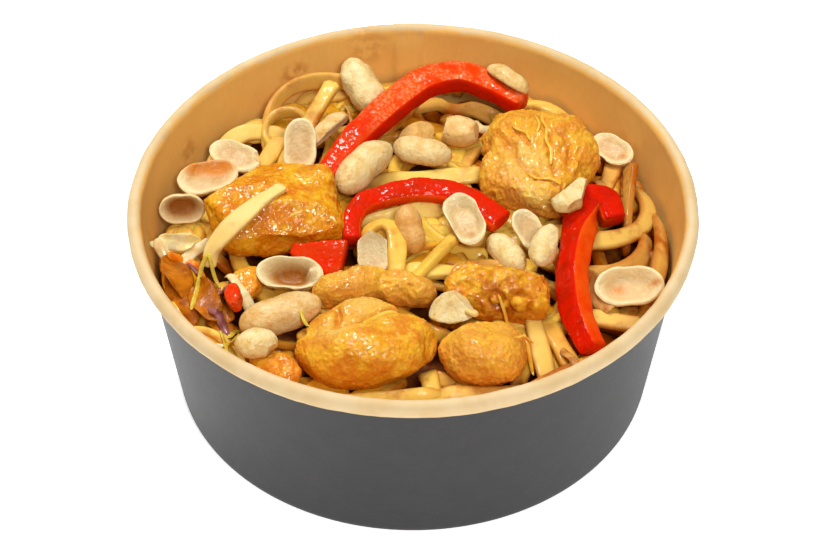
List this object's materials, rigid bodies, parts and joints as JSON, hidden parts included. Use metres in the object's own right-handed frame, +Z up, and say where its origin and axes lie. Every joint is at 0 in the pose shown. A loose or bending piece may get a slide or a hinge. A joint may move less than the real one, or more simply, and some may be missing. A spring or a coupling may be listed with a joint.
{
  "type": "noodle takeaway bowl",
  "caption": "Round paper takeaway bowl with a rolled rim, filled with wok noodles, chicken pieces, red pepper strips, cabbage and peanuts, that stands on its hemmed foot.",
  "frame": {"origin": "centre of the bowl's foot, on the surface it stands on", "axes": "+Z up along the bowl's axis, -Y towards the side the picture is taken from, +X to the right there"},
  "size_m": [0.15, 0.15, 0.058],
  "materials": {
    "kraft_paper": "coated paper, kraft brown inside and on the rim, dark grey outside",
    "noodle": "glossy cooked wheat noodle with amber sauce",
    "chicken": "glazed fried chicken, golden to brown",
    "red_pepper": "glossy red skin with orange-red flesh",
    "cabbage": "limp translucent leaf with sauce",
    "peanut": "roasted blanched kernel, satin"
  },
  "bodies": {
    "root": {"bowl": "kraft_paper", "noodle_heap": "noodle", "noodle_draped": "noodle", "chicken_left": "chicken", "chicken_back": "chicken", "chicken_front": "chicken", "chicken_strip": "chicken", "chicken_brown": "chicken", "chicken_nugget": "chicken", "chicken_scrap": "chicken", "chicken_flake": "chicken", "pepper_back": "red_pepper", "pepper_middle": "red_pepper", "pepper_right": "red_pepper", "pepper_flat": "red_pepper", "pepper_chip": "red_pepper", "cabbage_pale": "cabbage", "cabbage_edge": "cabbage", "cabbage_inner": "cabbage", "peanut_01": "peanut", "peanut_02": "peanut", "peanut_03": "peanut", "peanut_04": "peanut", "peanut_05": "peanut", "peanut_06": "peanut", "peanut_07": "peanut", "peanut_08": "peanut", "peanut_09": "peanut", "peanut_10": "peanut", "peanut_11": "peanut", "peanut_12": "peanut", "peanut_13": "peanut", "peanut_14": "peanut", "peanut_15": "peanut", "peanut_16": "peanut", "peanut_17": "peanut", "peanut_18": "peanut", "peanut_19": "peanut", "peanut_20": "peanut", "peanut_21": "peanut", "peanut_22": "peanut", "peanut_23": "peanut", "peanut_24": "peanut"}
  },
  "joints": []
}
